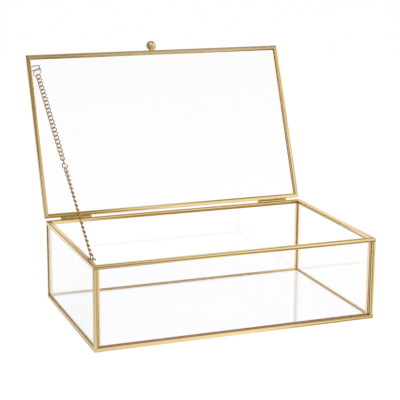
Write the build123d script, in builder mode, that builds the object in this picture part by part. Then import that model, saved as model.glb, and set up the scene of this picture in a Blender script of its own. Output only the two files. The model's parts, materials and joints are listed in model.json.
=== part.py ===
from build123d import *
import os
from math import copysign, cos, pi, radians, sin

# A clear glass jewelry box with soldered brass edge strips. Its glass lid is hinged at the back
# and stands open on a taut stay chain on the left.
# Millimetres, +Z up, the front towards -Y. The origin is the middle of the open box's footprint,
# on the surface that it stands on.

# Box
BOX_LENGTH = 200.0
BOX_WIDTH = 122.0
BOX_HEIGHT = 57.5

# Float glass and the sheet brass folded round its edges
GLASS = 2.0
BRASS = 0.6
GLASS_FIT = 0.1  # play between a pane and what holds it
EDGE_FACE = 2.6  # seen width of the box's edge strips
BASE_LEDGE = 3.4  # reach of the bottom strips under the base pane
BEAD_LEG = 2.0  # corner beads inside the box
BEAD_SHEET = 0.5
STRIP_BEVEL = 0.25  # eased edges of the strips

# Lid
LID_FACE = 3.0  # seen width of the lid's edge strips
LID_SHORT = 1.0  # how much less deep than the box the lid is
LID_GAP = 0.3  # between the closed lid and the rim
LID_OPEN = 112.5  # degrees from closed

# Hinges, with two knuckles on the box and one on the lid
HINGE_LENGTH = 22.0
HINGE_INSET = 22.7  # from the box's end to the middle of the hinge
BARREL_RADIUS = 1.1
BARREL_CLEAR = 0.2  # between a barrel and what it turns beside
KNUCKLE_GAP = 0.15
LEAF = 0.5
PIN_RADIUS = 0.5
PIN_PLAY = 0.05
PIN_HEAD = 0.4
PIN_HEAD_RADIUS = 0.9

# Ball knob, soldered to the lid's front edge
KNOB_RADIUS = 3.65
KNOB_STEM = 0.35  # between the ball and the lid's edge
KNOB_NECK = 1.4  # radius
KNOB_OFFSET = -2.8  # from the middle of the edge
SOLDER_RISE = 0.6
SOLDER_SPREAD = 1.6  # along the edge, past the neck
SOLDER_WALL = 0.15  # round the neck elsewhere

# Stay chain
WIRE = 0.66
LINK_PLAY = 0.42  # between the wires of two links
LINK_WIDTH = 3.1  # across, between wire centres
LINK_COUNT = 45
LINK_SIDES = 8  # straight facets round a link
LOWER_RUNS = (11, 1, 1, 5, 1, 1, 2)  # links that fold as one piece, from the box up
UPPER_RUNS = (11, 1, 1, 6, 1, 1, 2)  # and from the lid down
LINK_LEAN = 39.0  # degrees, by turns to either side, as in a curb chain
ROLL_AT_BOX = 65.0  # degrees, the chain's own twist
ROLL_AT_LID = -25.0
TWIST_START = 0.30  # share of the chain's length
TWIST_END = 0.75
RING_WIRE = 0.45
RING_RADIUS = 3.3  # to the wire's centre
RING_SIDES = 12
RING_ROLL = -45.0  # degrees
OPEN_SIDE = 0.3  # how far past its middle the open link is cut away

# Wire eyes that hold the chain
EYE_WIRE = 0.6
EYE_SIDES = 8  # facets round the wire
EYE_SPREAD = 3.2  # between the two legs
BOX_EYE_REACH = 1.5  # past the chain
LID_EYE_REACH = 2.4
LID_EYE_ELBOW = 1.1  # from the lid's strip to the bend
BOX_EYE_INSET = 5.4  # of the chain, from the box's left end
BOX_EYE_BACK = 21.0  # from the box's front
BOX_EYE_DROP = 1.3  # below the rim
LID_EYE_INSET = 6.2
LID_EYE_BACK = 11.9  # from the lid's front edge
LID_EYE_DROP = 1.3  # below the lid's inner face

os.makedirs("parts", exist_ok=True)

# Depths from the outside of a wall
glass_out = BRASS + GLASS_FIT
glass_in = glass_out + GLASS
strip_depth = glass_in + GLASS_FIT + BRASS

# The lid's frame as it stands open. Its origin is on the hinge axis, and on the closed lid its
# axes are those of the box.
lid_depth = BOX_WIDTH - LID_SHORT
lid_top = LID_GAP + strip_depth
lid_middle = LID_GAP + strip_depth / 2
hinge_setback = BARREL_RADIUS + BARREL_CLEAR
lid_front = -hinge_setback - lid_depth
knob_reach = KNOB_RADIUS + KNOB_STEM
turn = radians(LID_OPEN)
ball_back = (lid_front - knob_reach) * cos(turn) + lid_middle * sin(turn) + KNOB_RADIUS
front_y = -(BOX_WIDTH + hinge_setback + ball_back) / 2
hinge_y = front_y + BOX_WIDTH + hinge_setback
lid_frame = Plane((0, hinge_y, BOX_HEIGHT), x_dir=(1, 0, 0), z_dir=(0, sin(turn), cos(turn)))

# Plans of the box and of the lid's inner face, both seen from above with the front towards -Y
plan = Plane((0, front_y + BOX_WIDTH / 2, 0))
lid_plan = lid_frame.shift_origin(lid_frame.from_local_coords((0, lid_front + lid_depth / 2, 0)))
lid_plan = lid_plan.offset(LID_GAP)

SIDES = ("front", "right", "back", "left")
CORNERS = (("front_left", -1, -1), ("front_right", 1, -1), ("back_left", -1, 1), ("back_right", 1, 1))


def mitred_strip(side, length, width, depth):
    """Outline of the strip along one side of a frame, with its ends cut at 45 degrees."""
    x, y = length / 2, width / 2
    ring = [(-x, -y), (x, -y), (x, y), (-x, y)]
    first = SIDES.index(side)
    start, end = ring[first], ring[(first + 1) % 4]
    inner = [(px - copysign(depth, px), py - copysign(depth, py)) for px, py in (end, start)]
    return [start, end, *inner]


def angle_outline(x_side, y_side, leg, sheet):
    """Outline of an L whose outer corner is at the origin and whose legs point inwards."""
    corners = ((0, 0), (leg, 0), (leg, sheet), (sheet, sheet), (sheet, leg), (0, leg))
    return [(-x_side * x, -y_side * y) for x, y in corners]


# Wall panes: the front and back run the full length, and the sides stand between them
pane_height = BOX_HEIGHT - 2 * BRASS - GLASS_FIT
side_pane_width = BOX_WIDTH - 2 * (glass_in + GLASS_FIT)
for name, y_side in (("front_pane", -1), ("back_pane", 1)):
    with BuildPart() as long_pane:
        with BuildSketch(plan.offset(BRASS)):
            with Locations((0, y_side * (BOX_WIDTH / 2 - glass_out - GLASS / 2))):
                Rectangle(BOX_LENGTH - 2 * glass_out, GLASS)
        extrude(amount=pane_height)
    long_pane.part.label = name
    export_step(long_pane.part, f"parts/{name}.step")

for name, x_side in (("left_pane", -1), ("right_pane", 1)):
    with BuildPart() as side_pane:
        with BuildSketch(plan.offset(BRASS)):
            with Locations((x_side * (BOX_LENGTH / 2 - glass_out - GLASS / 2), 0)):
                Rectangle(GLASS, side_pane_width)
        extrude(amount=pane_height)
    side_pane.part.label = name
    export_step(side_pane.part, f"parts/{name}.step")

# The base pane lies inside the walls, on the ledges of the bottom strips
with BuildPart() as base_pane:
    with BuildSketch(plan.offset(BRASS)):
        Rectangle(BOX_LENGTH - 2 * (glass_in + GLASS_FIT), side_pane_width)
    extrude(amount=GLASS)
base_pane.part.label = "base_pane"
export_step(base_pane.part, "parts/base_pane.step")

# Bottom strips: an upright leg outside the glass and a ledge under it
for side in SIDES:
    run_axis = Axis.X if side in ("front", "back") else Axis.Y
    with BuildPart() as bottom_strip:
        with BuildSketch(plan):
            Polygon(*mitred_strip(side, BOX_LENGTH, BOX_WIDTH, BASE_LEDGE), align=None)
        extrude(amount=BRASS)
        with BuildSketch(plan):
            Polygon(*mitred_strip(side, BOX_LENGTH, BOX_WIDTH, BRASS), align=None)
        extrude(amount=EDGE_FACE)
        upper_edges = bottom_strip.edges().filter_by(run_axis).group_by(Axis.Z)[-1]
        chamfer(upper_edges, STRIP_BEVEL)
    bottom_strip.part.label = f"bottom_strip_{side}"
    export_step(bottom_strip.part, f"parts/bottom_strip_{side}.step")

# Top strips: a U turned over the rim of the panes
for side in SIDES:
    run_axis = Axis.X if side in ("front", "back") else Axis.Y
    with BuildPart() as top_strip:
        with BuildSketch(plan.offset(BOX_HEIGHT - EDGE_FACE)):
            Polygon(*mitred_strip(side, BOX_LENGTH, BOX_WIDTH, strip_depth), align=None)
        extrude(amount=EDGE_FACE)
        with BuildSketch(plan.offset(BOX_HEIGHT - EDGE_FACE)):
            Rectangle(BOX_LENGTH - 2 * BRASS, BOX_WIDTH - 2 * BRASS)
            inner_flange = strip_depth - BRASS
            Rectangle(BOX_LENGTH - 2 * inner_flange, BOX_WIDTH - 2 * inner_flange, mode=Mode.SUBTRACT)
        extrude(amount=EDGE_FACE - BRASS, mode=Mode.SUBTRACT)
        rim_edges = top_strip.edges().filter_by(run_axis).group_by(Axis.Z)[-1]
        chamfer(rim_edges, STRIP_BEVEL)
    top_strip.part.label = f"top_strip_{side}"
    export_step(top_strip.part, f"parts/top_strip_{side}.step")

# Corner posts outside the glass, and beads in the corners inside it
post_height = BOX_HEIGHT - 2 * EDGE_FACE
bead_foot = BRASS + GLASS
for corner, x_side, y_side in CORNERS:
    with BuildPart() as post:
        with BuildSketch(plan.offset(EDGE_FACE)):
            with Locations((x_side * BOX_LENGTH / 2, y_side * BOX_WIDTH / 2)):
                Polygon(*angle_outline(x_side, y_side, EDGE_FACE, BRASS), align=None)
        extrude(amount=post_height)
        outer_edge = post.edges().filter_by(Axis.Z).sort_by_distance(plan.origin)[-1]
        chamfer(outer_edge, STRIP_BEVEL)
    post.part.label = f"corner_post_{corner}"
    export_step(post.part, f"parts/corner_post_{corner}.step")

    with BuildPart() as bead:
        with BuildSketch(plan.offset(bead_foot)):
            with Locations((x_side * (BOX_LENGTH / 2 - glass_in), y_side * (BOX_WIDTH / 2 - glass_in))):
                Polygon(*angle_outline(x_side, y_side, BEAD_LEG, BEAD_SHEET), align=None)
        extrude(amount=BOX_HEIGHT - EDGE_FACE - bead_foot)
    bead.part.label = f"corner_bead_{corner}"
    export_step(bead.part, f"parts/corner_bead_{corner}.step")

# Lid strips: a U round the pane, closed at the lid's edge
lid_normal = Axis(lid_frame.origin, lid_frame.z_dir)
for side in SIDES:
    run_axis = Axis.X if side in ("front", "back") else Axis(lid_frame.origin, lid_frame.y_dir)
    with BuildPart() as lid_strip:
        with BuildSketch(lid_plan):
            Polygon(*mitred_strip(side, BOX_LENGTH, lid_depth, LID_FACE), align=None)
        extrude(amount=strip_depth)
        with BuildSketch(lid_plan.offset(BRASS)):
            Rectangle(BOX_LENGTH - 2 * BRASS, lid_depth - 2 * BRASS)
        extrude(amount=strip_depth - 2 * BRASS, mode=Mode.SUBTRACT)
        levels = lid_strip.edges().filter_by(run_axis).group_by(lid_normal)
        chamfer(levels[0] + levels[-1], STRIP_BEVEL)
    lid_strip.part.label = f"lid_strip_{side}"
    export_step(lid_strip.part, f"parts/lid_strip_{side}.step")

with BuildPart() as lid_pane:
    with BuildSketch(lid_plan.offset(glass_out)):
        Rectangle(BOX_LENGTH - 2 * glass_out, lid_depth - 2 * glass_out)
    extrude(amount=GLASS)
lid_pane.part.label = "lid_pane"
export_step(lid_pane.part, "parts/lid_pane.step")

# Hinges: sections are drawn square to the hinge axis, with the leaf on the near side of the barrel
knuckle = HINGE_LENGTH / 3
leaf_notch = BARREL_RADIUS + BARREL_CLEAR
bore = PIN_RADIUS + PIN_PLAY
for side, x_side in (("left", -1), ("right", 1)):
    hinge_end = x_side * (BOX_LENGTH / 2 - HINGE_INSET) - HINGE_LENGTH / 2
    axis_point = (hinge_end, hinge_y, BOX_HEIGHT)
    box_section = Plane(axis_point, x_dir=(0, 1, 0), z_dir=(1, 0, 0))
    lid_section = Plane(axis_point, x_dir=lid_frame.y_dir, z_dir=(1, 0, 0))

    with BuildPart() as box_leaf:
        for start in (0, 2 * knuckle):
            with BuildSketch(box_section.offset(start)):
                Circle(BARREL_RADIUS)
                with Locations((-hinge_setback, 0)):
                    Rectangle(LEAF, EDGE_FACE, align=(Align.MIN, Align.MAX))
                Circle(bore, mode=Mode.SUBTRACT)
            extrude(amount=knuckle)
        with BuildSketch(box_section):
            with Locations((-hinge_setback, -leaf_notch)):
                Rectangle(LEAF, EDGE_FACE - leaf_notch, align=(Align.MIN, Align.MAX))
        extrude(amount=HINGE_LENGTH)
    box_leaf.part.label = f"hinge_box_leaf_{side}"
    export_step(box_leaf.part, f"parts/hinge_box_leaf_{side}.step")

    with BuildPart() as lid_leaf:
        with BuildSketch(lid_section.offset(knuckle + KNUCKLE_GAP)):
            Circle(BARREL_RADIUS)
            with Locations((-hinge_setback, 0)):
                Rectangle(LEAF, lid_top, align=Align.MIN)
            Circle(bore, mode=Mode.SUBTRACT)
        extrude(amount=knuckle - 2 * KNUCKLE_GAP)
        with BuildSketch(lid_section):
            with Locations((-hinge_setback, leaf_notch)):
                Rectangle(LEAF, lid_top - leaf_notch, align=Align.MIN)
        extrude(amount=HINGE_LENGTH)
    lid_leaf.part.label = f"hinge_lid_leaf_{side}"
    export_step(lid_leaf.part, f"parts/hinge_lid_leaf_{side}.step")

    with BuildPart() as pin:
        with BuildSketch(box_section):
            Circle(PIN_RADIUS)
        extrude(amount=HINGE_LENGTH)
        for head_face in (box_section.offset(-PIN_HEAD), box_section.offset(HINGE_LENGTH)):
            with BuildSketch(head_face):
                Circle(PIN_HEAD_RADIUS)
            extrude(amount=PIN_HEAD)
    pin.part.label = f"hinge_pin_{side}"
    export_step(pin.part, f"parts/hinge_pin_{side}.step")

# Ball knob on its neck, standing out from the lid's front edge, and the solder round the neck
knob_root = lid_frame.from_local_coords((KNOB_OFFSET, lid_front, lid_middle))
knob_seat = Plane(knob_root, x_dir=(1, 0, 0), z_dir=-lid_frame.y_dir)
with BuildPart() as knob:
    with BuildSketch(knob_seat):
        Circle(KNOB_NECK)
    extrude(amount=knob_reach)
    with Locations(knob_seat.offset(knob_reach)):
        Sphere(KNOB_RADIUS)
knob.part.label = "lid_knob"
export_step(knob.part, "parts/lid_knob.step")

with BuildPart() as solder:
    collar = KNOB_NECK + SOLDER_WALL
    with BuildSketch(knob_seat):
        Ellipse(KNOB_NECK + SOLDER_SPREAD, collar)
    with BuildSketch(knob_seat.offset(SOLDER_RISE)):
        Circle(collar)
    loft()
    with BuildSketch(knob_seat):
        Circle(KNOB_NECK)
    extrude(amount=SOLDER_RISE, mode=Mode.SUBTRACT)
solder.part.label = "knob_solder"
export_step(solder.part, "parts/knob_solder.step")

# Chain eyes: a wire staple on the left top strip's inner face, and an elbowed one on the lid
box_eye_x = BOX_EYE_INSET - BOX_LENGTH / 2
box_eye_y = front_y + BOX_EYE_BACK
box_eye_z = BOX_HEIGHT - BOX_EYE_DROP
lid_eye_x = LID_EYE_INSET - BOX_LENGTH / 2
lid_eye_y = lid_front + LID_EYE_BACK
lid_eye_z = LID_GAP - LID_EYE_DROP
box_root = strip_depth - BOX_LENGTH / 2
lid_root = LID_FACE - BOX_LENGTH / 2
lid_root_z = LID_GAP + BRASS / 2
box_leg = [(box_root, box_eye_z), (box_eye_x + BOX_EYE_REACH, box_eye_z)]
lid_leg = [
    (lid_root, lid_root_z),
    (lid_root + LID_EYE_ELBOW, lid_root_z),
    (lid_root + LID_EYE_ELBOW, lid_eye_z),
    (lid_eye_x + LID_EYE_REACH, lid_eye_z),
]


def staple_route(leg, y):
    """Points along one leg of a staple and back along the other."""
    return [(x, y, z) for x, z in leg] + [(x, y - EYE_SPREAD, z) for x, z in reversed(leg)]


box_route = staple_route(box_leg, box_eye_y)
lid_route = [lid_frame.from_local_coords(point) for point in staple_route(lid_leg, lid_eye_y)]

for name, route in (("chain_box_eye", box_route), ("chain_lid_eye", lid_route)):
    with BuildPart() as eye:
        with BuildLine() as eye_path:
            Polyline(*route)
        with BuildSketch(Plane(eye_path.line @ 0, z_dir=eye_path.line % 0)):
            RegularPolygon(EYE_WIRE / 2, EYE_SIDES, major_radius=False)
        sweep(transition=Transition.RIGHT)
    eye.part.label = name
    export_step(eye.part, f"parts/{name}.step")

# The chain runs straight from the box's eye to the lid's. A link or ring of wire hooks over its
# neighbour with their wire centres one hook apart.
hook = WIRE + LINK_PLAY
ring_hook = (WIRE + RING_WIRE) / 2 + LINK_PLAY
chain_start = Vector(box_eye_x, box_eye_y, box_eye_z)
chain_end = lid_frame.from_local_coords((lid_eye_x, lid_eye_y, lid_eye_z))
along = (chain_end - chain_start).normalized()
ring_pitch = 2 * (RING_RADIUS - ring_hook)
link_pitch = ((chain_end - chain_start).length - ring_pitch) / LINK_COUNT
link_length = link_pitch + hook
link_straight = (link_length - LINK_WIDTH) / 2
octagon_bevel = 1 / (2 + 2 ** 0.5)  # share of a square wire's side


def wire_plane(centre, roll):
    """A plane of a link or ring: its first axis is the chain's, and roll turns it about that."""
    sideways = Vector(1, 0, 0) * cos(radians(roll))
    upright = along.cross(Vector(1, 0, 0)) * sin(radians(roll))
    return Plane(centre, x_dir=along, z_dir=along.cross(sideways + upright))


def link_plane(number):
    """The plane of a link, counted from 1 at the box."""
    centre = chain_start + along * ((number - 1) * link_pitch - hook + link_length / 2)
    share = ((number - 0.5) / LINK_COUNT - TWIST_START) / (TWIST_END - TWIST_START)
    share = min(max(share, 0), 1)
    twist = (ROLL_AT_LID - ROLL_AT_BOX) * share * share * (3 - 2 * share)
    lean = LINK_LEAN if number % 2 else -LINK_LEAN
    return wire_plane(centre, ROLL_AT_BOX + twist + lean)


def link_outline(radius):
    """A faceted oval: half a ring of this inner radius at each end of the straight sides."""
    corner = radius / cos(pi / LINK_SIDES)
    points = []
    for step in range(LINK_SIDES):
        angle = 2 * pi * (step + 0.5) / LINK_SIDES
        middle = copysign(link_straight, cos(angle))
        points.append((middle + corner * cos(angle), corner * sin(angle)))
    return points


with BuildPart() as link:
    with BuildSketch():
        Polygon(*link_outline((LINK_WIDTH + WIRE) / 2), align=None)
        Polygon(*link_outline((LINK_WIDTH - WIRE) / 2), align=None, mode=Mode.SUBTRACT)
    extrude(amount=WIRE / 2, both=True)
    chamfer(link.faces().filter_by(Axis.Z).edges(), WIRE * octagon_bevel)

# The lower strand's last link is an open hook, which lets go of the upper strand as the chain folds
with BuildPart() as open_link:
    add(link.part)
    with BuildSketch():
        with Locations((link_straight + OPEN_SIDE, -OPEN_SIDE)):
            Rectangle(LINK_WIDTH, LINK_WIDTH, align=Align.MIN)
    extrude(amount=WIRE, both=True, mode=Mode.SUBTRACT)

first_link = 1
open_number = sum(LOWER_RUNS)
for run, count in enumerate(LOWER_RUNS, 1):
    with BuildPart() as strand:
        for number in range(first_link, first_link + count):
            with Locations(link_plane(number)):
                add(open_link.part if number == open_number else link.part)
    strand.part.label = f"chain_lower_{run}"
    export_step(strand.part, f"parts/chain_lower_{run}.step")
    first_link += count

last_link = LINK_COUNT
for run, count in enumerate(UPPER_RUNS, 1):
    with BuildPart() as strand:
        for number in range(last_link, last_link - count, -1):
            with Locations(link_plane(number)):
                add(link.part)
    strand.part.label = f"chain_upper_{run}"
    export_step(strand.part, f"parts/chain_upper_{run}.step")
    last_link -= count

with BuildPart() as ring:
    with BuildSketch(wire_plane(chain_end - along * (RING_RADIUS - ring_hook), RING_ROLL)):
        half_side = 180 / RING_SIDES
        ring_outside = RING_RADIUS + RING_WIRE / 2
        ring_inside = RING_RADIUS - RING_WIRE / 2
        RegularPolygon(ring_outside, RING_SIDES, major_radius=False, rotation=half_side)
        RegularPolygon(
            ring_inside, RING_SIDES, major_radius=False, rotation=half_side, mode=Mode.SUBTRACT
        )
    extrude(amount=RING_WIRE / 2, both=True)
    flat_faces = ring.faces().sort_by(SortBy.AREA)[-2:]
    chamfer(flat_faces.edges(), RING_WIRE * octagon_bevel)
ring.part.label = "chain_ring"
export_step(ring.part, "parts/chain_ring.step")
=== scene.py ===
"""Looks for a glass jewelry box with brass edging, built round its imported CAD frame."""

import json
import math

import bmesh
import bpy
from bpy.props import FloatProperty, FloatVectorProperty, PointerProperty
from mathutils import Matrix, Vector

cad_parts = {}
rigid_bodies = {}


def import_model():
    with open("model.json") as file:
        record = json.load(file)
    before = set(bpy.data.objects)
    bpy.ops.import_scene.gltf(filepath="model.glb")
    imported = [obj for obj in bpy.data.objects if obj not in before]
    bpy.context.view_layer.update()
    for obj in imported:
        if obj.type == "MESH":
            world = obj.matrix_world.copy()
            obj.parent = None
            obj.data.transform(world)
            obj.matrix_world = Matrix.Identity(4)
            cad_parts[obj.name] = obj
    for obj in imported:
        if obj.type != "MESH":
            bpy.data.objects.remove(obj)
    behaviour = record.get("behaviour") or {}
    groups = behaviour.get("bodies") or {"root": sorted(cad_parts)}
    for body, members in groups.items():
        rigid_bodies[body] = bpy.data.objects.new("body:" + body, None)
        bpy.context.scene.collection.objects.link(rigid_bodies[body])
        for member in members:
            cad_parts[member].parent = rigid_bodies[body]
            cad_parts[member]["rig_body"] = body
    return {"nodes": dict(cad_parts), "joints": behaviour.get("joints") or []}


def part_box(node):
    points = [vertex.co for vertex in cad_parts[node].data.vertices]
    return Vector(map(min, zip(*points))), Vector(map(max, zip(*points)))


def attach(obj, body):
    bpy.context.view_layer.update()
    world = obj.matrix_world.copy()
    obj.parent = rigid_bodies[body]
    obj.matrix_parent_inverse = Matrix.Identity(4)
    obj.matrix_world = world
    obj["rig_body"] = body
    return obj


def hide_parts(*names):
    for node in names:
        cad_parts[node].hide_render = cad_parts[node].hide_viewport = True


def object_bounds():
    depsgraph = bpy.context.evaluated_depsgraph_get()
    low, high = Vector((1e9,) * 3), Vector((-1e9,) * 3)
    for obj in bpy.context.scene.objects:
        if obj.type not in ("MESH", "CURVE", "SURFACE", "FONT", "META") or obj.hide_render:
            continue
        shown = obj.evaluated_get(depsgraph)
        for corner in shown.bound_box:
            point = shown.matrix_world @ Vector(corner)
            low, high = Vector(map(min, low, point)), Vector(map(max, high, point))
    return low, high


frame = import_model()
CAD_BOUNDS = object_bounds()

bl_info = {
    "name": "Glass jewelry box",
    "version": (1, 0, 0),
    "blender": (4, 5, 0),
    "location": "View3D > Sidebar > Jewelry box",
    "description": "Dresses the CAD frame of a brass-edged glass box and sets its studio",
    "category": "Object",
}

MM = 0.001
SIDES = ("front", "right", "back", "left")
CORNERS = (("front_left", -1, -1), ("front_right", 1, -1), ("back_left", -1, 1), ("back_right", 1, 1))
PANES = ("front_pane", "back_pane", "left_pane", "right_pane", "base_pane", "lid_pane")

JOINTS = {joint["name"]: joint for joint in frame["joints"]}
HINGE = Vector(JOINTS["lid_hinge"]["pos_m"])
LID_OPEN = math.radians(JOINTS["lid_hinge"]["range_deg"][1])

# The chain hangs from the box's eye to the lid's, and its links fold in these runs
CHAIN_START = Vector(JOINTS["lower_fold_1"]["pos_m"])
CHAIN_END = Vector(JOINTS["upper_fold_1"]["pos_m"])
LOWER_RUNS = (11, 1, 1, 5, 1, 1, 2)
UPPER_RUNS = (11, 1, 1, 6, 1, 1, 2)
LINK_COUNT = sum(LOWER_RUNS) + sum(UPPER_RUNS)
HOOK_LINK = sum(LOWER_RUNS)  # an open hook, where the two strands part

CHAIN_HEADING = (CHAIN_END - CHAIN_START).normalized()
TWIST_START, TWIST_SPAN = 0.30, 0.45  # where the chain twists, in shares of its length

# How finely wires and folds are drawn
WIRE_SIDES = 10
BEND_STEPS = 16  # round half a link
STRAIGHT_STEPS = 3  # along either side of a link
HOOK_GAP = (-1, 7)  # the steps of its far bend that the open hook lacks
EYE_STEPS = 4  # round each bend of an eye
RING_STEPS = 40
FOLD_SEGMENTS, CUT_SEGMENTS = 4, 3
WELD = 0.001 * MM
SMOOTH_LIMIT = math.radians(40)

# Sizes of the patterns in the materials
HAZE_PATCH = 25 * MM
ROLL_LENGTH = 150 * MM
ROLL_DEPTH = 0.1 * MM
FOIL_CLOUD = 3 * MM
WIRE_CLOUD = 2 * MM
KNOB_CLOUD = 1.5 * MM
SOLDER_CLOUD = 1 * MM

FLOOR_RADIUS = 8.0
FLOOR_GLOW = 0.9  # how much of the floor's own white is seen, over its shaded paper
# Each lamp's name, place from the middle of the box, side and power
LAMPS = (
    ("key_softbox", Vector((-0.5, -0.5, 1.1)), 0.9, 8.0),
    ("fill_softbox", Vector((0.9, -0.3, 0.6)), 0.6, 3.0),
)


def linear(code):
    """The linear colour of an sRGB hex value."""
    shares = [int(code[i : i + 2], 16) / 255 for i in (0, 2, 4)]
    return [s / 12.92 if s <= 0.04045 else ((s + 0.055) / 1.055) ** 2.4 for s in shares]


def cad_node(name):
    """The CAD object of a node, which the frame has to hold."""
    if name not in frame["nodes"]:
        raise RuntimeError(f"the frame has no node {name}")
    return frame["nodes"][name]


def add_node(tree, kind, inputs=None, **settings):
    """Adds a shader node; an input is a value for its socket, or another node's output."""
    node = tree.nodes.new(kind)
    for name, value in settings.items():
        setattr(node, name, value)
    for key, value in (inputs or {}).items():
        if isinstance(value, bpy.types.NodeSocket):
            tree.links.new(value, node.inputs[key])
        else:
            node.inputs[key].default_value = value
    return node


def new_material(name):
    """An empty node material and its tree."""
    material = bpy.data.materials.new(name)
    material.use_nodes = True
    material.node_tree.nodes.clear()
    return material, material.node_tree


def paint(piece, material):
    """Gives a whole piece one material."""
    piece.data.materials.clear()
    piece.data.materials.append(material)


def colour_setting(name, description, code):
    """A colour that can be changed, from its sRGB hex value."""
    return FloatVectorProperty(
        name=name, description=description, subtype="COLOR", size=3, min=0, max=1, default=linear(code)
    )


def size_setting(name, description, millimetres):
    """A length that can be changed."""
    return FloatProperty(
        name=name, description=description, subtype="DISTANCE", unit="LENGTH", default=millimetres * MM
    )


def angle_setting(name, description, degrees):
    """An angle that can be changed."""
    return FloatProperty(name=name, description=description, subtype="ANGLE", default=math.radians(degrees))


class BoxFinish(bpy.types.PropertyGroup):
    """Colours and small sizes of the box that its CAD frame leaves open."""

    glass_tint: colour_setting("Glass", "Body tint of the float glass", "FDFDFE")
    brass: colour_setting("Brass", "Polished face of the sheet brass", "F7DEA6")
    brass_deep: colour_setting("Deep brass", "Sheet brass in its darker streaks", "A8823E")
    wire_brass: colour_setting("Wire", "Brass wire of the chain", "BA8C20")
    wire_deep: colour_setting("Deep wire", "Brass wire where it has darkened", "92680F")
    knob_brass: colour_setting("Knob", "Satin brass of the ball knob", "AA8C5A")
    ring_brass: colour_setting("Ring", "Darker brass wire of the jump ring and the lid's eye", "40342A")
    # The foil's colour is painted shade: a brown standing in for the shaded brass seen through the glass
    # beside the posts and along the base
    foil: colour_setting("Foil", "Copper foil on the cut edges of the glass", "96683A")
    solder: colour_setting("Solder", "Solder at the knob's neck", "E6D2BC")
    seam_brass: colour_setting("Seam", "Brass-washed solder along the base", "E4BE6E")
    sheet: size_setting("Sheet", "Thickness of the sheet brass", 0.6)
    fold_radius: size_setting("Fold", "Outside radius of the strips' folds", 0.45)
    edge_radius: size_setting("Cut edge", "Rounding of the strips' cut edges", 0.18)
    lid_face: size_setting("Lid strip", "Seen width of the lid's edge strips", 3.0)
    lid_short: size_setting("Lid short", "How much less deep than the box the lid is", 1.0)
    lid_gap: size_setting("Lid gap", "Between the closed lid and the rim", 0.3)
    hinge_setback: size_setting("Hinge setback", "From the lid's back edge to the hinge axis", 1.3)
    seam: size_setting("Base seam", "Width of the solder seam along the base", 0.9)
    foil_share: FloatProperty(
        name="Foil share", description="Part of the gap between two panes that the foil fills",
        subtype="FACTOR", min=0, max=1, default=0.4,
    )
    glass_clear: size_setting("Glass clearance", "Between the glass and the brass soldered beside it", 0.05)
    roll_start: size_setting("Roll start", "Where the pattern of marks starts on the sheet", 5.3)
    roll_mark: size_setting("Roll marks", "Spacing of the marks that rolling leaves in the sheet", 0.9)


class ChainWire(bpy.types.PropertyGroup):
    """Sizes of the stay chain's wire."""

    wire: size_setting("Wire", "Thickness of the links' wire", 0.66)
    play: size_setting("Play", "Between the wires of two links", 0.42)
    width: size_setting("Link width", "Across a link, between wire centres", 3.1)
    lean: angle_setting("Lean", "Turn of a link's plane at either end, which makes a curb chain", 39)
    roll_at_box: angle_setting("Roll at the box", "Turn of the chain about its own line", 65)
    roll_at_lid: angle_setting("Roll at the lid", "Turn of the chain about its own line", -25)
    ring_wire: size_setting("Ring wire", "Thickness of the jump ring's wire", 0.45)
    ring_radius: size_setting("Ring radius", "Jump ring, to the wire's centre", 3.3)
    ring_roll: angle_setting("Ring roll", "Turn of the jump ring about the chain's line", -45)
    eye_wire: size_setting("Eye wire", "Thickness of the eyes' wire", 0.6)
    eye_spread: size_setting("Eye spread", "Between the two legs of an eye", 3.2)
    eye_bend: size_setting("Eye bend", "Radius of the bends in the eyes, to the wire's centre", 0.5)
    lid_elbow: size_setting("Lid eye elbow", "From the lid's strip to the first bend of its eye", 1.1)
    lid_reach: size_setting("Lid eye reach", "From the chain's line to the tip of the lid's eye", 2.4)


class StudioSettings(bpy.types.PropertyGroup):
    """The camera and light that the box is shown with."""

    floor: colour_setting("Floor", "Pale floor under the box", "FAFAFA")
    lens: FloatProperty(
        name="Lens", description="Focal length on a 36 mm sensor", subtype="DISTANCE_CAMERA", default=112.77
    )
    azimuth: angle_setting("Azimuth", "Camera's turn round the box", -20.84)
    elevation: angle_setting("Elevation", "Camera's tilt downwards", 13.53)
    roll: angle_setting("Roll", "Camera's turn about its own axis", 0.29)
    place: FloatVectorProperty(
        name="Camera", description="Where the camera stands", subtype="TRANSLATION", unit="LENGTH", size=3,
        default=(-0.30578, -0.81676, 0.28206),
    )


def float_glass(finish):
    """Clear float glass, fire polished on both faces: nearly colourless, with a faint wiped haze.

    Light from the lamps and off the floor goes straight through it, as through any thin pane.
    """
    material, tree = new_material("clear_float_glass")
    coordinates = add_node(tree, "ShaderNodeTexCoord")
    haze = add_node(
        tree,
        "ShaderNodeTexNoise",
        {"Vector": coordinates.outputs["Object"], "Scale": 1 / HAZE_PATCH, "Detail": 2.0},
    )
    wiped = add_node(
        tree,
        "ShaderNodeMapRange",
        {"Value": haze.outputs["Fac"], "From Min": 0.4, "From Max": 0.75, "To Min": 0.0, "To Max": 0.02},
    )
    glass = add_node(
        tree,
        "ShaderNodeBsdfPrincipled",
        {
            "Base Color": (*finish.glass_tint, 1),
            "Roughness": wiped.outputs["Result"],
            "IOR": 1.5,
            "Transmission Weight": 1.0,
        },
    )
    through = add_node(tree, "ShaderNodeBsdfTransparent", {"Color": (*finish.glass_tint, 1)})
    path = add_node(tree, "ShaderNodeLightPath")
    passing = add_node(
        tree,
        "ShaderNodeMath",
        {0: path.outputs["Is Shadow Ray"], 1: path.outputs["Is Diffuse Ray"]},
        operation="MAXIMUM",
    )
    pane = add_node(
        tree,
        "ShaderNodeMixShader",
        {0: passing.outputs["Value"], 1: glass.outputs["BSDF"], 2: through.outputs["BSDF"]},
    )
    add_node(tree, "ShaderNodeOutputMaterial", {"Surface": pane.outputs["Shader"]})
    return material


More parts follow.
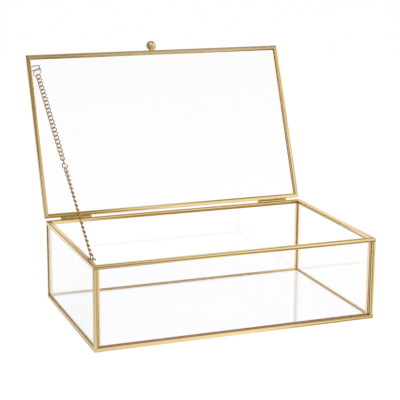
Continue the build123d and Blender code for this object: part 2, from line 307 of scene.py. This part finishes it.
def sheet_brass(finish, name, turn):
    """Rolled sheet brass, polished: warm pale gold, streaked light and dark along the strip.

    The streaks are drawn coarser than real roll marks, so that they show as lines.
    """
    material, tree = new_material(name)
    coordinates = add_node(tree, "ShaderNodeTexCoord")
    marks_map = add_node(
        tree,
        "ShaderNodeMapping",
        {
            "Vector": coordinates.outputs["Object"],
            "Location": Vector((1, 1, 1)) * finish.roll_start,
            "Rotation": turn,
            "Scale": (ROLL_LENGTH, finish.roll_mark, finish.roll_mark),
        },
        vector_type="TEXTURE",
    )
    marks = add_node(
        tree, "ShaderNodeTexNoise", {"Vector": marks_map.outputs["Vector"], "Scale": 1.0, "Detail": 1.0}
    )
    streak = add_node(
        tree, "ShaderNodeMapRange", {"Value": marks.outputs["Fac"], "From Min": 0.48, "From Max": 0.6}
    )
    colour = add_node(
        tree,
        "ShaderNodeMix",
        {"Factor": streak.outputs["Result"], "A": (*finish.brass, 1), "B": (*finish.brass_deep, 1)},
        data_type="RGBA",
    )
    roughness = add_node(
        tree,
        "ShaderNodeMapRange",
        {"Value": marks.outputs["Fac"], "From Min": 0.3, "From Max": 0.7, "To Min": 0.16, "To Max": 0.3},
    )
    bump = add_node(
        tree, "ShaderNodeBump", {"Height": marks.outputs["Fac"], "Strength": 0.3, "Distance": ROLL_DEPTH}
    )
    brass = add_node(
        tree,
        "ShaderNodeBsdfPrincipled",
        {
            "Base Color": colour.outputs["Result"],
            "Metallic": 1.0,
            "Roughness": roughness.outputs["Result"],
            "Normal": bump.outputs["Normal"],
        },
    )
    add_node(tree, "ShaderNodeOutputMaterial", {"Surface": brass.outputs["BSDF"]})
    return material


def worked_brass(name, light, deep, cloud_size, smooth, rough):
    """Brass that was turned, drawn or washed over solder: two colours in a fine cloud.

    Its roughness follows the cloud, from smooth to rough. Each use says what the finish gives the eye.
    """
    material, tree = new_material(name)
    coordinates = add_node(tree, "ShaderNodeTexCoord")
    cloud = add_node(
        tree,
        "ShaderNodeTexNoise",
        {"Vector": coordinates.outputs["Object"], "Scale": 1 / cloud_size, "Detail": 3.0},
    )
    colour = add_node(
        tree,
        "ShaderNodeMix",
        {"Factor": cloud.outputs["Fac"], "A": (*light, 1), "B": (*deep, 1)},
        data_type="RGBA",
    )
    roughness = add_node(
        tree, "ShaderNodeMapRange", {"Value": cloud.outputs["Fac"], "To Min": smooth, "To Max": rough}
    )
    brass = add_node(
        tree,
        "ShaderNodeBsdfPrincipled",
        {"Base Color": colour.outputs["Result"], "Metallic": 1.0, "Roughness": roughness.outputs["Result"]},
    )
    add_node(tree, "ShaderNodeOutputMaterial", {"Surface": brass.outputs["BSDF"]})
    return material


def foil_painted_shade(finish):
    """Copper foil, matt: a clouded brown that keeps its colour in the shade. The brown is painted shade: it
    stands in for the shaded brass seen through the glass in the gaps between the panes.
    """
    material, tree = new_material("copper_foil_painted_shade")
    coordinates = add_node(tree, "ShaderNodeTexCoord")
    cloud = add_node(
        tree,
        "ShaderNodeTexNoise",
        {"Vector": coordinates.outputs["Object"], "Scale": 1 / FOIL_CLOUD, "Detail": 2.0},
    )
    colour = add_node(
        tree,
        "ShaderNodeMix",
        {"Factor": cloud.outputs["Fac"], "A": (*finish.foil, 1), "B": (*finish.brass_deep, 1)},
        data_type="RGBA",
    )
    foil = add_node(
        tree, "ShaderNodeBsdfPrincipled", {"Base Color": colour.outputs["Result"], "Roughness": 0.6}
    )
    add_node(tree, "ShaderNodeOutputMaterial", {"Surface": foil.outputs["BSDF"]})
    return material


def drawn_out(points):
    """A flat section drawn out into a bar, whose far end still lies on the near one.

    Gives the shape, the long edge from each point, and the far end's vertices.
    """
    shape = bmesh.new()
    near = [shape.verts.new(point) for point in points]
    section = shape.faces.new(near)
    grown = bmesh.ops.extrude_face_region(shape, geom=[section], use_keep_orig=True)["geom"]
    far = [item for item in grown if isinstance(item, bmesh.types.BMVert)]
    runs = [next(edge for edge in vert.link_edges if section not in edge.link_faces) for vert in near]
    return shape, runs, far


def ease(shape, edges, radius, segments):
    """Rounds edges to a radius."""
    bmesh.ops.bevel(
        shape, geom=edges, offset=radius, offset_type="OFFSET", affect="EDGES",
        segments=segments, profile=0.5, clamp_overlap=True, material=-1,
    )


def finish_bar(shape, runs, folds, cuts, finish):
    """Turns a bar's faces outwards and rounds its folds and cut edges."""
    bmesh.ops.recalc_face_normals(shape, faces=shape.faces)
    ease(shape, [runs[i] for i in folds], finish.fold_radius, FOLD_SEGMENTS)
    ease(shape, [runs[i] for i in cuts], finish.edge_radius, CUT_SEGMENTS)


def mitred_bar(outline, length, width, side):
    """A bar along one side of a frame round the Z axis, its ends mitred.

    The outline is its section, as the distance in from the frame's outside and the height.
    """
    if side in ("right", "left"):
        length, width = width, length
    shape, runs, far = drawn_out([(inset - length / 2, inset - width / 2, up) for inset, up in outline])
    bmesh.ops.scale(shape, verts=far, vec=(-1, 1, 1))
    turn = Matrix.Rotation(SIDES.index(side) * math.pi / 2, 3, "Z")
    bmesh.ops.rotate(shape, verts=shape.verts, cent=(0, 0, 0), matrix=turn)
    return shape, runs


def corner_bar(node, x_side, y_side, sheet):
    """An upright angle that fills a corner node's box, with its outside at that corner."""
    low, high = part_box(node)
    leg = high[0] - low[0]
    corner_x, corner_y = (low, high)[x_side > 0][0], (low, high)[y_side > 0][1]
    outline = ((0, 0), (leg, 0), (leg, sheet), (sheet, sheet), (sheet, leg), (0, leg))
    shape, runs, far = drawn_out([(corner_x - x_side * x, corner_y - y_side * y, low[2]) for x, y in outline])
    bmesh.ops.translate(shape, verts=far, vec=(0, 0, high[2] - low[2]))
    return shape, runs


def plate(low, high):
    """A flat piece that fills a box."""
    low, high = Vector(low), Vector(high)
    shape = bmesh.new()
    fill = Matrix.Translation((low + high) / 2) @ Matrix.Diagonal((*(high - low), 1))
    bmesh.ops.create_cube(shape, size=1, matrix=fill)
    return shape


def mid_gap(gap, share):
    """The two ends of the middle share of a gap."""
    near, far = gap
    spare = (far - near) * (1 - share) / 2
    return near + spare, far - spare


def open_lid(shape):
    """Swings what was drawn on the closed lid back to where the lid stands open."""
    bmesh.ops.rotate(shape, verts=shape.verts, cent=HINGE, matrix=Matrix.Rotation(-LID_OPEN, 3, "X"))


def rim_edges(items):
    """The edges among what an operator gives back."""
    return [item for item in items if isinstance(item, bmesh.types.BMEdge)]


def push(shape, rim, offset):
    """Draws a wire's open end on by an offset, and gives the new end."""
    grown = bmesh.ops.extrude_edge_only(shape, edges=rim)["geom"]
    verts = [item for item in grown if isinstance(item, bmesh.types.BMVert)]
    bmesh.ops.translate(shape, verts=verts, vec=offset)
    return [edge for edge in rim_edges(grown) if edge.verts[0] in verts and edge.verts[1] in verts]


def bend(shape, rim, centre, axis, angle, steps):
    """Draws a wire's open end round a bend, and gives the new end."""
    verts = list({vert for edge in rim for vert in edge.verts})
    spun = bmesh.ops.spin(
        shape, geom=verts + rim, cent=centre, axis=axis, angle=angle, steps=steps, use_merge=False
    )
    return rim_edges(spun["geom_last"])


def wire_end(shape, place, heading, wire):
    """The open end of a round wire, square to its heading."""
    turn = heading.to_track_quat("Z", "Y").to_matrix().to_4x4()
    made = bmesh.ops.create_circle(
        shape, cap_ends=False, segments=WIRE_SIDES, radius=wire / 2, matrix=Matrix.Translation(place) @ turn
    )
    return list({edge for vert in made["verts"] for edge in vert.link_edges})


def close_wire(shape):
    """Joins a wire's ends where they meet, caps those that are open, and turns its faces outwards."""
    bmesh.ops.remove_doubles(shape, verts=shape.verts, dist=WELD)
    bmesh.ops.holes_fill(shape, edges=shape.edges, sides=WIRE_SIDES)
    bmesh.ops.recalc_face_normals(shape, faces=shape.faces)


def bent_wire(route, wire, radius):
    """Round wire along a route of straight runs, bent to a radius at each corner."""
    shape = bmesh.new()
    here, heading = route[0], (route[1] - route[0]).normalized()
    rim = wire_end(shape, here, heading, wire)
    for corner, after in zip(route[1:-1], route[2:]):
        onward = (after - corner).normalized()
        angle = heading.angle(onward)
        axis = heading.cross(onward).normalized()
        reach = radius * math.tan(angle / 2)
        start = corner - heading * reach
        rim = push(shape, rim, start - here)
        rim = bend(shape, rim, start + axis.cross(heading) * radius, axis, angle, EYE_STEPS)
        here, heading = corner + onward * reach, onward
    push(shape, rim, route[-1] - here)
    close_wire(shape)
    return shape


def link_mesh(chain, length, low_lean, high_lean, opened=False):
    """A link along X with its wire's plane turned at either end; an opened one has a gap in its far end."""
    shape = bmesh.new()
    radius = chain.width / 2
    straight = length / 2 - radius
    rim = wire_end(shape, Vector((straight, -radius, 0)), Vector((1, 0, 0)), chain.wire)
    for way in (1, -1):
        rim = bend(shape, rim, (way * straight, 0, 0), (0, 0, 1), math.pi, BEND_STEPS)
        for _ in range(STRAIGHT_STEPS):
            rim = push(shape, rim, (-way * straight * 2 / STRAIGHT_STEPS, 0, 0))
    bmesh.ops.remove_doubles(shape, verts=shape.verts, dist=WELD)
    if opened:
        gap_start, gap_end = (step * math.pi / BEND_STEPS for step in HOOK_GAP)
        gap = []
        for face in shape.faces:
            across, up, _ = face.calc_center_median()
            if across > straight and gap_start < math.atan2(up, across - straight) < gap_end:
                gap.append(face)
        bmesh.ops.delete(shape, geom=gap, context="FACES")
    close_wire(shape)
    for vert in shape.verts:
        share = vert.co.x / length + 0.5
        vert.co.rotate(Matrix.Rotation(low_lean + (high_lean - low_lean) * share, 3, "X"))
    mesh = bpy.data.meshes.new("link")
    shape.to_mesh(mesh)
    shape.free()
    return mesh


def wire_frame(centre, roll):
    """Where a link or ring lies: along the chain, rolled about its line."""
    level = Vector((1, 0, 0))
    side = level * math.cos(roll) + CHAIN_HEADING.cross(level) * math.sin(roll)
    upright = CHAIN_HEADING.cross(side).normalized()
    axes = Matrix((CHAIN_HEADING, upright.cross(CHAIN_HEADING), upright)).transposed()
    return Matrix.Translation(centre) @ axes.to_4x4()


def ring_hook(chain):
    """Between the centres of the jump ring's wire and of a wire that hangs in it."""
    return (chain.wire + chain.ring_wire) / 2 + chain.play


def new_piece(name, shape, body, material):
    """Turns a bmesh into a piece that rides on a body."""
    mesh = bpy.data.meshes.new(name)
    shape.to_mesh(mesh)
    shape.free()
    mesh.shade_smooth()
    mesh.set_sharp_from_angle(angle=SMOOTH_LIMIT)
    piece = bpy.data.objects.new(name, mesh)
    bpy.context.scene.collection.objects.link(piece)
    paint(piece, material)
    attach(piece, body)
    return piece


def dress(node, shape, material):
    """Puts a piece in the place of a CAD node, on the node's own body."""
    piece = new_piece(f"{node}_dressed", shape, cad_node(node)["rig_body"], material)
    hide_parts(node)


class JEWELRY_BOX_OT_panes(bpy.types.Operator):
    """Gives the six panes their glass"""

    bl_idname = "jewelry_box.panes"
    bl_label = "Glass panes"

    def execute(self, context):
        glass = float_glass(context.scene.box_finish)
        for name in PANES:
            paint(cad_node(name), glass)
        return {"FINISHED"}


class JEWELRY_BOX_OT_edging(bpy.types.Operator):
    """Folds the strips, posts and beads from rolled brass, and lays the foil and solder between the panes"""

    bl_idname = "jewelry_box.edging"
    bl_label = "Brass edging"

    def execute(self, context):
        finish = context.scene.box_finish
        lengthwise = sheet_brass(finish, "rolled_brass_lengthwise", (0, 0, 0))
        depthwise = sheet_brass(finish, "rolled_brass_depthwise", (0, 0, math.pi / 2))
        upright = sheet_brass(finish, "rolled_brass_upright", (0, math.pi / 2, 0))
        leaning = sheet_brass(finish, "rolled_brass_leaning", (0, LID_OPEN, math.pi / 2))
        # Solder run along a joint and washed with brass: a smooth warm line, softer than the strips
        solder = worked_brass(
            "brass_washed_seam", finish.seam_brass, finish.brass_deep, SOLDER_CLOUD, smooth=0.2, rough=0.4
        )
        # The foil's matt brown is painted shade, standing in for the shaded brass seen in the gaps between
        # the panes
        foil = foil_painted_shade(finish)
        front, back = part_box("top_strip_front"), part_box("top_strip_back")
        length, width = front[1][0] - front[0][0], back[1][1] - front[0][1]
        middle = Vector((0, (front[0][1] + back[1][1]) / 2, 0))
        for side in SIDES:
            run = lengthwise if side in ("front", "back") else depthwise
            self.fold_box_strips(finish, length, width, middle, side, run)
            self.fold_lid_strip(finish, length, width, side, run if run is lengthwise else leaning)
            self.run_seam(finish, length, width, middle, side, solder)
            self.foil_base(finish, side, foil)
        for corner, x_side, y_side in CORNERS:
            self.fold_corner(finish, corner, x_side, y_side, upright)
            self.foil_corner(finish, corner, x_side, y_side, foil)
        return {"FINISHED"}

    def fold_box_strips(self, finish, length, width, middle, side, brass):
        """A channel over the rim, and an angle under the walls"""
        sheet = finish.sheet
        low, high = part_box("top_strip_front")
        deep, tall = high[1] - low[1], high[2] - low[2]
        channel = (
            (0, 0), (0, tall), (deep, tall), (deep, 0),
            (deep - sheet, 0), (deep - sheet, tall - sheet), (sheet, tall - sheet), (sheet, 0),
        )
        shape, runs = mitred_bar(channel, length, width, side)
        finish_bar(shape, runs, (1, 2), (0, 3, 4, 7), finish)
        bmesh.ops.translate(shape, verts=shape.verts, vec=middle + Vector((0, 0, low[2])))
        dress(f"top_strip_{side}", shape, brass)

        low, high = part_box("bottom_strip_front")
        ledge, tall = high[1] - low[1], high[2] - low[2]
        angle = ((0, 0), (0, tall), (sheet, tall), (sheet, sheet), (ledge, sheet), (ledge, 0))
        shape, runs = mitred_bar(angle, length, width, side)
        finish_bar(shape, runs, (0,), (1, 2, 4, 5), finish)
        bmesh.ops.translate(shape, verts=shape.verts, vec=middle)
        dress(f"bottom_strip_{side}", shape, brass)

    def fold_lid_strip(self, finish, length, width, side, brass):
        """A channel round the lid's pane"""
        sheet, face = finish.sheet, finish.lid_face
        low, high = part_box("top_strip_front")
        deep = high[1] - low[1]
        lid_depth = width - finish.lid_short
        channel = (
            (0, 0), (0, deep), (face, deep), (face, deep - sheet),
            (sheet, deep - sheet), (sheet, sheet), (face, sheet), (face, 0),
        )
        shape, runs = mitred_bar(channel, length, lid_depth, side)
        finish_bar(shape, runs, (0, 1), (2, 3, 6, 7), finish)
        place = HINGE + Vector((0, -finish.hinge_setback - lid_depth / 2, finish.lid_gap))
        bmesh.ops.translate(shape, verts=shape.verts, vec=place)
        open_lid(shape)
        dress(f"lid_strip_{side}", shape, brass)

    def fold_corner(self, finish, corner, x_side, y_side, brass):
        """An angle outside the glass, and a smaller one inside it"""
        shape, runs = corner_bar(f"corner_post_{corner}", x_side, y_side, finish.sheet)
        finish_bar(shape, runs, (0,), (1, 2, 4, 5), finish)
        dress(f"corner_post_{corner}", shape, brass)
        shape, runs = corner_bar(f"corner_bead_{corner}", x_side, y_side, finish.sheet)
        finish_bar(shape, runs, (0, 3), (1, 2, 4, 5), finish)
        clear = finish.glass_clear
        bmesh.ops.translate(shape, verts=shape.verts, vec=(-x_side * clear, -y_side * clear, 0))
        dress(f"corner_bead_{corner}", shape, brass)

    def run_seam(self, finish, length, width, middle, side, solder):
        """Solder along the foot of a wall, on the base pane"""
        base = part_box("base_pane")
        clear, wide = finish.glass_clear, finish.seam
        lip = wide / 3
        outline = ((0, 0), (0, wide), (lip, wide), (wide, lip), (wide, 0))
        inside = 2 * (base[0][0] + length / 2 + clear)
        shape, runs = mitred_bar(outline, length - inside, width - inside, side)
        finish_bar(shape, runs, (2, 3), (1, 4), finish)
        place = middle + Vector((0, 0, base[1][2] + clear))
        bmesh.ops.translate(shape, verts=shape.verts, vec=place)
        new_piece(f"base_seam_{side}", shape, "box", solder)

    def foil_base(self, finish, side, foil):
        """Foil on a cut edge of the base pane, behind the foot of a wall"""
        base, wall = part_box("base_pane"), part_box(f"{side}_pane")
        axis = 1 if side in ("front", "back") else 0
        gap = (wall[1][axis], base[0][axis]) if side in ("front", "left") else (base[1][axis], wall[0][axis])
        low, high = list(base[0]), list(base[1])
        low[axis], high[axis] = mid_gap(gap, finish.foil_share)
        new_piece(f"base_foil_{side}", plate(low, high), "box", foil)

    def foil_corner(self, finish, corner, x_side, y_side, foil):
        """Foil on the cut edge of a side wall, behind the front or back wall"""
        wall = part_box("left_pane" if x_side < 0 else "right_pane")
        if y_side < 0:
            gap = (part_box("front_pane")[1][1], wall[0][1])
        else:
            gap = (wall[1][1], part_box("back_pane")[0][1])
        near, far = mid_gap(gap, finish.foil_share)
        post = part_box(f"corner_post_{corner}")
        shape = plate((wall[0][0], near, post[0][2]), (wall[1][0], far, post[1][2]))
        new_piece(f"corner_foil_{corner}", shape, "box", foil)


class JEWELRY_BOX_OT_hinges(bpy.types.Operator):
    """Gives the hinges their rolled brass"""

    bl_idname = "jewelry_box.hinges"
    bl_label = "Hinges"

    def execute(self, context):
        finish = context.scene.box_finish
        brass = sheet_brass(finish, "rolled_hinge_brass", (0, 0, 0))
        for side in ("left", "right"):
            for part in ("hinge_box_leaf", "hinge_lid_leaf", "hinge_pin"):
                paint(cad_node(f"{part}_{side}"), brass)
        return {"FINISHED"}


class JEWELRY_BOX_OT_knob(bpy.types.Operator):
    """Gives the ball knob its turned brass and its neck the solder"""

    bl_idname = "jewelry_box.knob"
    bl_label = "Knob"

    def execute(self, context):
        finish = context.scene.box_finish
        # Turned brass rubbed to a satin: a soft gold with broad, dim highlights
        turned = worked_brass(
            "turned_brass_satin", finish.knob_brass, finish.brass, KNOB_CLOUD, smooth=0.4, rough=0.6
        )
        paint(cad_node("lid_knob"), turned)
        # Solder washed with brass: paler than the knob, and smoother
        solder = worked_brass(
            "brass_washed_solder", finish.solder, finish.brass, SOLDER_CLOUD, smooth=0.25, rough=0.45
        )
        paint(cad_node("knob_solder"), solder)
        return {"FINISHED"}


class JEWELRY_BOX_OT_chain(bpy.types.Operator):
    """Bends the chain's links, ring and eyes from round wire"""

    bl_idname = "jewelry_box.chain"
    bl_label = "Stay chain"

    def execute(self, context):
        finish, chain = context.scene.box_finish, context.scene.chain_wire
        # Drawn brass wire, bright: a deep yellow with a small sharp glint on each bend
        brass = worked_brass(
            "drawn_brass_wire", finish.wire_brass, finish.wire_deep, WIRE_CLOUD, smooth=0.2, rough=0.35
        )
        # The same wire under an oxide film: brown, with a duller glint
        dark = worked_brass(
            "oxidised_brass_wire", finish.ring_brass, finish.wire_deep, WIRE_CLOUD, smooth=0.2, rough=0.4
        )
        self.hang_links(chain, brass)
        self.hang_ring(chain, dark)
        self.bend_eyes(finish, chain, brass, dark)
        return {"FINISHED"}

    def hang_links(self, chain, brass):
        """Links from the box's eye to the jump ring, each hooked in the one before"""
        hook = chain.wire + chain.play
        span = (CHAIN_END - CHAIN_START).length
        pitch = (span - 2 * (chain.ring_radius - ring_hook(chain))) / LINK_COUNT
        length = pitch + hook
        curb = link_mesh(chain, length, -chain.lean, chain.lean)
        flat = link_mesh(chain, length, chain.lean, chain.lean)
        opened = link_mesh(chain, length, -chain.lean, -chain.lean, opened=True)
        # The link in the box's eye and the two where the strands part have no twist in them
        special = {1: flat, HOOK_LINK: opened, HOOK_LINK + 1: flat}
        strands = self.runs("lower", 1, 1, LOWER_RUNS) | self.runs("upper", LINK_COUNT, -1, UPPER_RUNS)
        for node, numbers in strands.items():
            shape = bmesh.new()
            for number in numbers:
                centre = CHAIN_START + CHAIN_HEADING * ((number - 1) * pitch - hook + length / 2)
                mesh = special.get(number, curb).copy()
                mesh.transform(wire_frame(centre, self.roll(chain, number)))
                shape.from_mesh(mesh)
                bpy.data.meshes.remove(mesh)
            dress(node, shape, brass)
        for mesh in (curb, flat, opened):
            bpy.data.meshes.remove(mesh)

    def runs(self, strand, first, step, counts):
        """The link numbers of each run of a strand, by its node"""
        nodes = {}
        for run, count in enumerate(counts, 1):
            nodes[f"chain_{strand}_{run}"] = range(first, first + step * count, step)
            first += step * count
        return nodes

    def roll(self, chain, number):
        """The chain's own twist at a link, which eases in and out between its ends"""
        share = ((number - 0.5) / LINK_COUNT - TWIST_START) / TWIST_SPAN
        share = min(max(share, 0), 1)
        return chain.roll_at_box + (chain.roll_at_lid - chain.roll_at_box) * share * share * (3 - 2 * share)

    def hang_ring(self, chain, brass):
        """A ring of finer wire between the last link and the lid's eye"""
        shape = bmesh.new()
        heading = Vector((0, 1, 0))
        rim = wire_end(shape, Vector((chain.ring_radius, 0, 0)), heading, chain.ring_wire)
        verts = list({vert for edge in rim for vert in edge.verts})
        bmesh.ops.spin(
            shape, geom=verts + rim, cent=(0, 0, 0), axis=(0, 0, 1),
            angle=2 * math.pi, steps=RING_STEPS, use_merge=True,
        )
        close_wire(shape)
        centre = CHAIN_END - CHAIN_HEADING * (chain.ring_radius - ring_hook(chain))
        bmesh.ops.transform(shape, matrix=wire_frame(centre, chain.ring_roll), verts=shape.verts)
        dress("chain_ring", shape, brass)

    def bend_eyes(self, finish, chain, brass, dark):
        """A staple on the rim strip's inner face, and an elbowed one on the lid's strip"""
        back = Vector((0, -chain.eye_spread, 0))
        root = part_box("top_strip_left")[1][0]
        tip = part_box("chain_box_eye")[1][0] - chain.eye_wire / 2
        leg = [Vector((x, CHAIN_START.y, CHAIN_START.z)) for x in (root, tip)]
        route = leg + [point + back for point in reversed(leg)]
        dress("chain_box_eye", bent_wire(route, chain.eye_wire, chain.eye_bend), brass)

        line = HINGE + Matrix.Rotation(LID_OPEN, 3, "X") @ (CHAIN_END - HINGE)
        root = Vector((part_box("lid_strip_left")[1][0], line.y, HINGE.z + finish.lid_gap + finish.sheet / 2))
        elbow = root + Vector((chain.lid_elbow, 0, 0))
        knee = Vector((elbow.x, line.y, line.z))
        leg = [root, elbow, knee, line + Vector((chain.lid_reach, 0, 0))]
        route = leg + [point + back for point in reversed(leg)]
        shape = bent_wire(route, chain.eye_wire, chain.eye_bend)
        open_lid(shape)
        dress("chain_lid_eye", shape, dark)


class JEWELRY_BOX_OT_stage(bpy.types.Operator):
    """Sets the pale floor, the soft studio light and the camera"""

    bl_idname = "jewelry_box.stage"
    bl_label = "Stage"

    def execute(self, context):
        scene = context.scene
        studio = scene.box_studio
        self.lay_floor(studio)
        self.light_world(scene)
        self.hang_lamps()
        self.place_camera(scene, studio)
        scene.view_settings.view_transform = "Standard"
        return {"FINISHED"}

    def mirrored(self, tree, path):
        """One for a ray off a shiny face, and none for one that came through glass"""
        return add_node(
            tree, "ShaderNodeMath",
            {0: path.outputs["Is Glossy Ray"], 1: path.outputs["Is Transmission Ray"]},
            operation="SUBTRACT", use_clamp=True,
        )

    def shown(self, tree, path):
        """One for a ray from the camera, also after it went through glass"""
        return add_node(
            tree, "ShaderNodeMath",
            {0: path.outputs["Is Camera Ray"], 1: path.outputs["Is Transmission Ray"]},
            operation="MAXIMUM",
        )

    def lay_floor(self, studio):
        """Pale paper, matt: near white under a soft shadow. Its glow as shiny faces see it is painted light,
        graded to fall off to the left
        """
        shape = bmesh.new()
        bmesh.ops.create_circle(shape, cap_ends=True, segments=64, radius=FLOOR_RADIUS)
        mesh = bpy.data.meshes.new("floor")
        shape.to_mesh(mesh)
        shape.free()
        floor = bpy.data.objects.new("floor", mesh)
        bpy.context.scene.collection.objects.link(floor)
        material, tree = new_material("pale_studio_paper")
        path = add_node(tree, "ShaderNodeLightPath")
        mirrored = self.mirrored(tree, path)
        seen = add_node(
            tree, "ShaderNodeMath",
            {0: self.shown(tree, path).outputs["Value"], 1: mirrored.outputs["Value"]}, operation="MAXIMUM",
        )
        share = add_node(
            tree, "ShaderNodeMath", {0: seen.outputs["Value"], 1: FLOOR_GLOW}, operation="MULTIPLY"
        )
        coordinates = add_node(tree, "ShaderNodeTexCoord")
        slant = add_node(
            tree, "ShaderNodeVectorMath", {0: coordinates.outputs["Object"], 1: (1.0, 0.5, 0.0)},
            operation="DOT_PRODUCT",
        )
        # Painted light: for rays off shiny faces the floor's glow is graded, full on the right down to 0.3 on
        # the left, so the brass reflects a painted fall-off
        fall = add_node(
            tree, "ShaderNodeMapRange",
            {
                "Value": slant.outputs["Value"],
                "From Min": -0.3,
                "From Max": -0.04,
                "To Min": 0.3,
                "To Max": 1.0,
            },
        )
        strength = add_node(
            tree, "ShaderNodeMix",
            {"Factor": mirrored.outputs["Value"], "A": 1.0, "B": fall.outputs["Result"]}, data_type="FLOAT",
        )
        paper = add_node(tree, "ShaderNodeBsdfDiffuse", {"Color": (*studio.floor, 1)})
        glow = add_node(
            tree, "ShaderNodeEmission", {"Color": (1, 1, 1, 1), "Strength": strength.outputs["Result"]}
        )
        mixed = add_node(
            tree, "ShaderNodeMixShader",
            {0: share.outputs["Value"], 1: paper.outputs["BSDF"], 2: glow.outputs["Emission"]},
        )
        add_node(tree, "ShaderNodeOutputMaterial", {"Surface": mixed.outputs["Shader"]})
        paint(floor, material)

    def light_world(self, scene):
        """Even white light; shiny faces see it fall off to the left and towards a dim ceiling"""
        world = bpy.data.worlds.new("studio")
        world.use_nodes = True
        tree = world.node_tree
        tree.nodes.clear()
        path = add_node(tree, "ShaderNodeLightPath")
        coordinates = add_node(tree, "ShaderNodeTexCoord")
        parts = add_node(tree, "ShaderNodeSeparateXYZ", {"Vector": coordinates.outputs["Generated"]})
        ceiling = add_node(
            tree, "ShaderNodeMapRange",
            {"Value": parts.outputs["Z"], "From Min": 0.3, "From Max": 0.9, "To Min": 1.0, "To Max": 0.2},
        )
        dim_side = add_node(
            tree, "ShaderNodeMapRange",
            {"Value": parts.outputs["X"], "From Min": -0.7, "From Max": 0.3, "To Min": 0.25, "To Max": 1.0},
        )
        room = add_node(
            tree, "ShaderNodeMath",
            {0: ceiling.outputs["Result"], 1: dim_side.outputs["Result"]}, operation="MULTIPLY",
        )
        even = add_node(
            tree, "ShaderNodeMix",
            {"Factor": self.shown(tree, path).outputs["Value"], "A": 0.95, "B": 1.0}, data_type="FLOAT",
        )
        strength = add_node(
            tree, "ShaderNodeMix",
            {
                "Factor": self.mirrored(tree, path).outputs["Value"],
                "A": even.outputs["Result"],
                "B": room.outputs["Value"],
            },
            data_type="FLOAT",
        )
        sky = add_node(
            tree, "ShaderNodeBackground",
            {"Color": (1, 1, 1, 1), "Strength": strength.outputs["Result"]},
        )
        add_node(tree, "ShaderNodeOutputWorld", {"Surface": sky.outputs["Background"]})
        scene.world = world

    def hang_lamps(self):
        """Two square softboxes that face the middle of the box"""
        middle = (CAD_BOUNDS[0] + CAD_BOUNDS[1]) / 2
        for name, offset, size, power in LAMPS:
            data = bpy.data.lights.new(name, "AREA")
            data.size = size
            data.energy = power
            lamp = bpy.data.objects.new(name, data)
            lamp.location = middle + offset
            lamp.rotation_euler = (-offset).to_track_quat("-Z", "Y").to_euler()
            bpy.context.scene.collection.objects.link(lamp)

    def place_camera(self, scene, studio):
        """A long lens in front and to the left of the box, a little above it"""
        data = bpy.data.cameras.new("photo_camera")
        data.sensor_width = 36.0
        data.lens = studio.lens
        data.clip_start, data.clip_end = 0.05, 50.0
        camera = bpy.data.objects.new("photo_camera", data)
        turn = Matrix.Rotation(studio.azimuth, 4, "Z")
        tilt = Matrix.Rotation(math.pi / 2 - studio.elevation, 4, "X")
        roll = Matrix.Rotation(studio.roll, 4, "Z")
        camera.matrix_world = Matrix.Translation(studio.place) @ turn @ tilt @ roll
        scene.collection.objects.link(camera)
        scene.camera = camera


class JEWELRY_BOX_PT_panel(bpy.types.Panel):
    """Lists the steps and settings of the jewelry box"""

    bl_idname = "JEWELRY_BOX_PT_panel"
    bl_label = "Jewelry box"
    bl_space_type = "VIEW_3D"
    bl_region_type = "UI"
    bl_category = "Jewelry box"

    def draw(self, context):
        scene = context.scene
        for settings in (scene.box_finish, scene.chain_wire, scene.box_studio):
            for name in settings.__annotations__:
                self.layout.prop(settings, name)
        for step in STEPS:
            self.layout.operator(step.bl_idname)


STEPS = (
    JEWELRY_BOX_OT_panes,
    JEWELRY_BOX_OT_edging,
    JEWELRY_BOX_OT_hinges,
    JEWELRY_BOX_OT_knob,
    JEWELRY_BOX_OT_chain,
    JEWELRY_BOX_OT_stage,
)
CLASSES = (BoxFinish, ChainWire, StudioSettings, *STEPS, JEWELRY_BOX_PT_panel)


def register():
    for item in CLASSES:
        bpy.utils.register_class(item)
    bpy.types.Scene.box_finish = PointerProperty(type=BoxFinish)
    bpy.types.Scene.chain_wire = PointerProperty(type=ChainWire)
    bpy.types.Scene.box_studio = PointerProperty(type=StudioSettings)


def unregister():
    del bpy.types.Scene.box_studio
    del bpy.types.Scene.chain_wire
    del bpy.types.Scene.box_finish
    for item in reversed(CLASSES):
        bpy.utils.unregister_class(item)


def main():
    register()
    bpy.ops.jewelry_box.panes()
    bpy.ops.jewelry_box.edging()
    bpy.ops.jewelry_box.hinges()
    bpy.ops.jewelry_box.knob()
    bpy.ops.jewelry_box.chain()
    bpy.ops.jewelry_box.stage()


if __name__ == "__main__":
    main()
